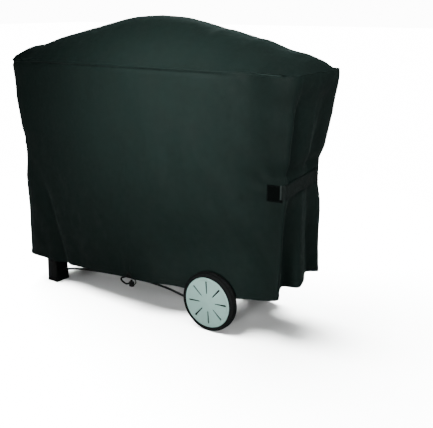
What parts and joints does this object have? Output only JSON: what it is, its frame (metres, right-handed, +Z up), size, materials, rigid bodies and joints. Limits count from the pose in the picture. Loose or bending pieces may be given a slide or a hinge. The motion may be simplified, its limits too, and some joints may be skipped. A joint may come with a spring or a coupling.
{
  "type": "grill cover",
  "caption": "Fitted fabric cover with strap closures and a drawcord hem, hanging over a compact wheeled cart grill that it protects.",
  "frame": {"origin": "on the floor, under the middle of the cover", "axes": "+X to the right along the long side, towards the wheels; the front faces -Y; +Z up"},
  "size_m": [1.15, 0.4, 1],
  "materials": {
    "cloth": "woven polyester, dark green-black, soft sheen",
    "webbing": "woven webbing strap",
    "tape": "matt hook and loop tape",
    "cord": "braided elastic cord",
    "fittings_plastic": "moulded black plastic",
    "eyelet_metal": "darkened pressed eyelet",
    "spring_steel": "bright spring wire",
    "foot_plastic": "moulded black plastic, fine texture",
    "frame_steel": "black powder coat",
    "table_plastic": "charcoal moulded plastic",
    "axle_steel": "plain zinc-plated steel",
    "tyre": "black moulded tyre",
    "wheel_plastic": "black moulded plastic",
    "bush_nylon": "natural nylon",
    "hubcap": "pale green-grey plastic, soft gloss",
    "enamel": "gloss black enamel",
    "handle_plastic": "black heat-proof plastic",
    "grate_iron": "seasoned cast iron"
  },
  "bodies": {
    "cart": {"foot_front_left": "foot_plastic", "foot_rear_left": "foot_plastic", "axle_bracket_front": "foot_plastic", "axle_bracket_rear": "foot_plastic", "leg_front_left": "frame_steel", "leg_rear_left": "frame_steel", "leg_front_right": "frame_steel", "leg_rear_right": "frame_steel", "top_rail_front": "frame_steel", "top_rail_rear": "frame_steel", "end_rail_left": "frame_steel", "end_rail_right": "frame_steel", "table_post_left": "frame_steel", "table_post_right": "frame_steel", "tie_rod_front": "frame_steel", "tie_rod_rear": "frame_steel", "lower_shelf": "frame_steel", "bowl_cradle_left": "frame_steel", "bowl_cradle_right": "frame_steel", "lid_hinge_left": "frame_steel", "lid_hinge_right": "frame_steel", "ash_pan": "frame_steel", "side_table_left": "table_plastic", "side_table_right": "table_plastic", "axle": "axle_steel", "axle_spacer_front": "axle_steel", "axle_spacer_rear": "axle_steel", "damper_rivet": "axle_steel", "bowl": "enamel", "lid": "enamel", "lid_handle": "handle_plastic", "cooking_grate": "grate_iron", "charcoal_grate": "grate_iron"},
    "cover": {"roof_panel": "cloth", "front_panel": "cloth", "back_panel": "cloth", "left_panel": "cloth", "right_panel": "cloth", "loop_tape_right": "tape", "loop_tape_left": "tape", "strap_anchor_right": "tape", "strap_anchor_left": "tape", "drawcord": "cord", "hem_eyelet": "eyelet_metal", "cord_lock_housing": "fittings_plastic", "cord_lock_spring": "spring_steel", "cord_lead": "cord", "cord_return": "cord"},
    "strap_right": {"strap_right": "webbing"},
    "strap_left": {"strap_left": "webbing"},
    "lock_button": {"cord_lock_button": "fittings_plastic"},
    "wheel_front": {"tyre_front": "tyre", "wheel_body_front": "wheel_plastic", "wheel_bush_front": "bush_nylon", "hubcap_front": "hubcap"},
    "wheel_rear": {"tyre_rear": "tyre", "wheel_body_rear": "wheel_plastic", "wheel_bush_rear": "bush_nylon", "hubcap_rear": "hubcap"},
    "damper": {"lid_damper": "axle_steel"}
  },
  "joints": [
    {"name": "cover_lift", "type": "slide", "parent": "cart", "child": "cover", "axis": [0, 0, 1], "range_m": [0, 0.92]},
    {"name": "strap_right_swing", "type": "hinge", "parent": "cover", "child": "strap_right", "pos_m": [0.52973, 0.125, 0.506], "axis": [0, 0, 1], "range_deg": [0, 100]},
    {"name": "strap_left_swing", "type": "hinge", "parent": "cover", "child": "strap_left", "pos_m": [-0.5459, -0.125, 0.506], "axis": [0, 0, 1], "range_deg": [0, 100]},
    {"name": "lock_button_press", "type": "slide", "parent": "cover", "child": "lock_button", "axis": [0, 0, -1], "range_m": [0, 0.004], "stiffness_N_per_m": 600, "deforming": ["cord_lock_spring"]},
    {"name": "wheel_front_spin", "type": "hinge", "parent": "cart", "child": "wheel_front", "pos_m": [0.295, -0.151, 0.1], "axis": [0, 1, 0], "continuous": true},
    {"name": "wheel_rear_spin", "type": "hinge", "parent": "cart", "child": "wheel_rear", "pos_m": [0.295, 0.151, 0.1], "axis": [0, 1, 0], "continuous": true},
    {"name": "damper_turn", "type": "hinge", "parent": "cart", "child": "damper", "pos_m": [0, 0, 0.9737], "axis": [0, 0, 1], "range_deg": [0, 60]}
  ]
}
